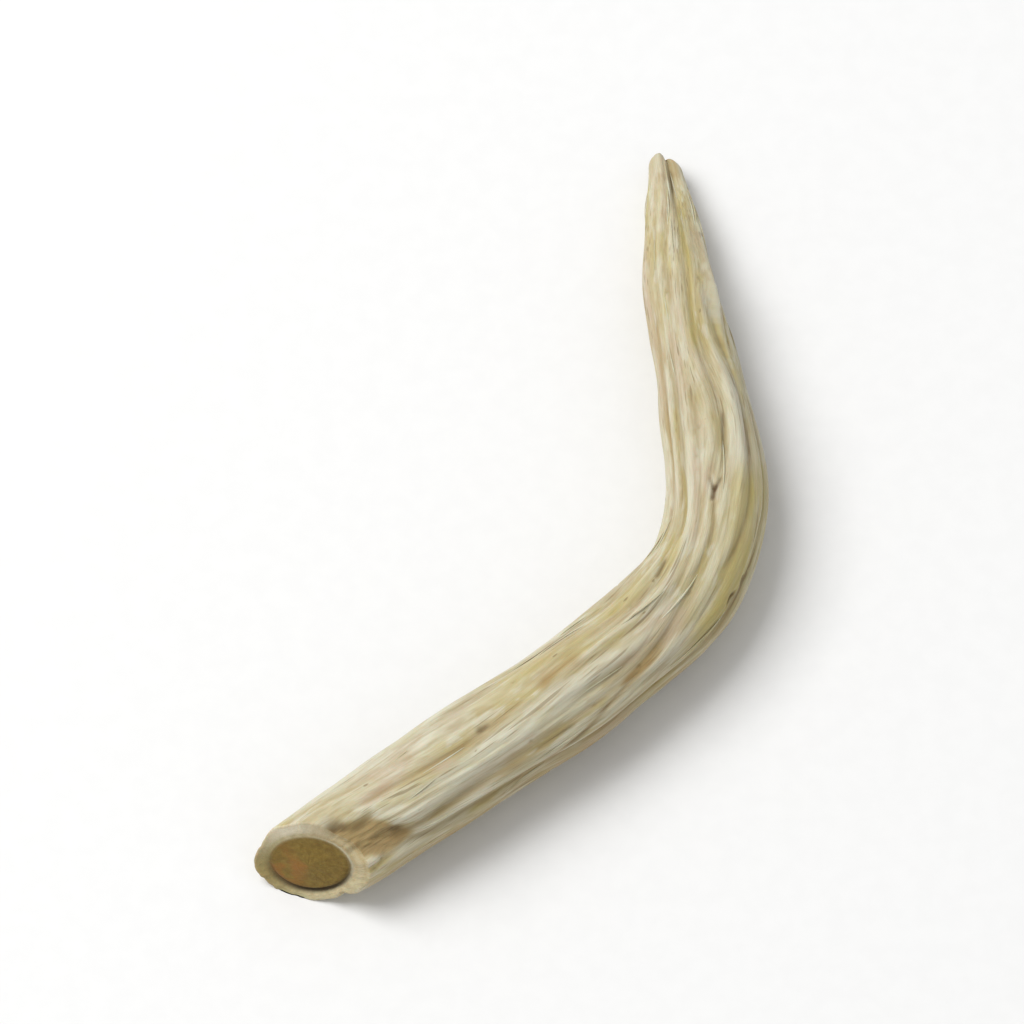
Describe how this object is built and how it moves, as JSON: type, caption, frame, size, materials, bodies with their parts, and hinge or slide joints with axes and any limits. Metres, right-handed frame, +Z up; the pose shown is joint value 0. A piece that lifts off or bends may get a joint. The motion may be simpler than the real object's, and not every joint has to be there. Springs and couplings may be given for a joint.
{
  "type": "dried shatavari root",
  "caption": "Dried, peeled shatavari root, hook-shaped and ridged lengthwise, cut across at its thick end and snapped at its thin tip; lies on a surface.",
  "frame": {"origin": "middle of the root's box in plan, on the surface it lies on", "axes": "+Z up from the surface, +Y away from the viewer towards the thin tip, +X to the right, towards the outside of the bend"},
  "size_m": [0.0256, 0.0426, 0.0053],
  "materials": {
    "peeled_root": "matt, dry and fibrous peeled root flesh, cream with tan furrows and a tan woody core on the cut face"
  },
  "bodies": {
    "root": {"shatavari_root": "peeled_root"}
  },
  "joints": []
}
